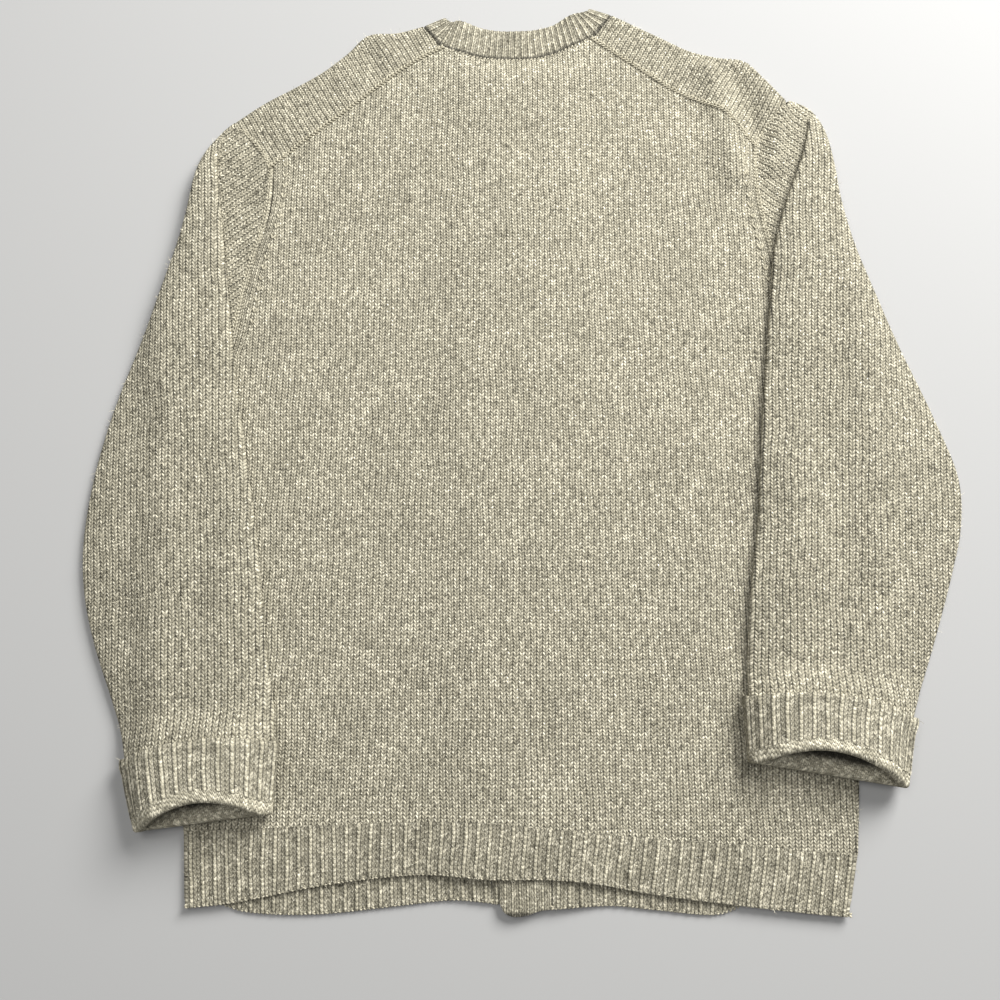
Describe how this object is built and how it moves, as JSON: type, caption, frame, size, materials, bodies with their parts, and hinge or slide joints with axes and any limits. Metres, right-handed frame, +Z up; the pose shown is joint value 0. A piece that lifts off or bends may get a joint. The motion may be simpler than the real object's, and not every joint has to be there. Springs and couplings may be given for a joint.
{
  "type": "fisherman cardigan",
  "caption": "Chunky knitted wool cardigan lying face down, sleeves folded over its back, ribbed hem and neckband, turned-up ribbed cuffs, button bands underneath.",
  "frame": {"origin": "centre of the bounding box in plan, at its lowest height, where the cloth rests on the surface", "axes": "+Z up out of the garment's back, +Y from hem to neckband, +X towards the wearer's right"},
  "size_m": [0.69, 0.749, 0.0301],
  "materials": {
    "jersey": "plain-knit heathered wool",
    "rib": "rib-knit heathered wool",
    "button": "dark horn-effect, satin"
  },
  "bodies": {
    "root": {"back": "jersey", "front_left": "jersey", "front_right": "jersey", "sleeve_left": "jersey", "sleeve_right": "jersey", "back_hem": "rib", "front_left_hem": "rib", "front_right_hem": "rib", "cuff_left": "rib", "cuff_right": "rib", "neckband": "rib", "button_band_left": "rib", "button_band_right": "rib", "button_1": "button", "button_2": "button", "button_3": "button", "button_4": "button", "button_5": "button", "button_6": "button"}
  },
  "joints": []
}
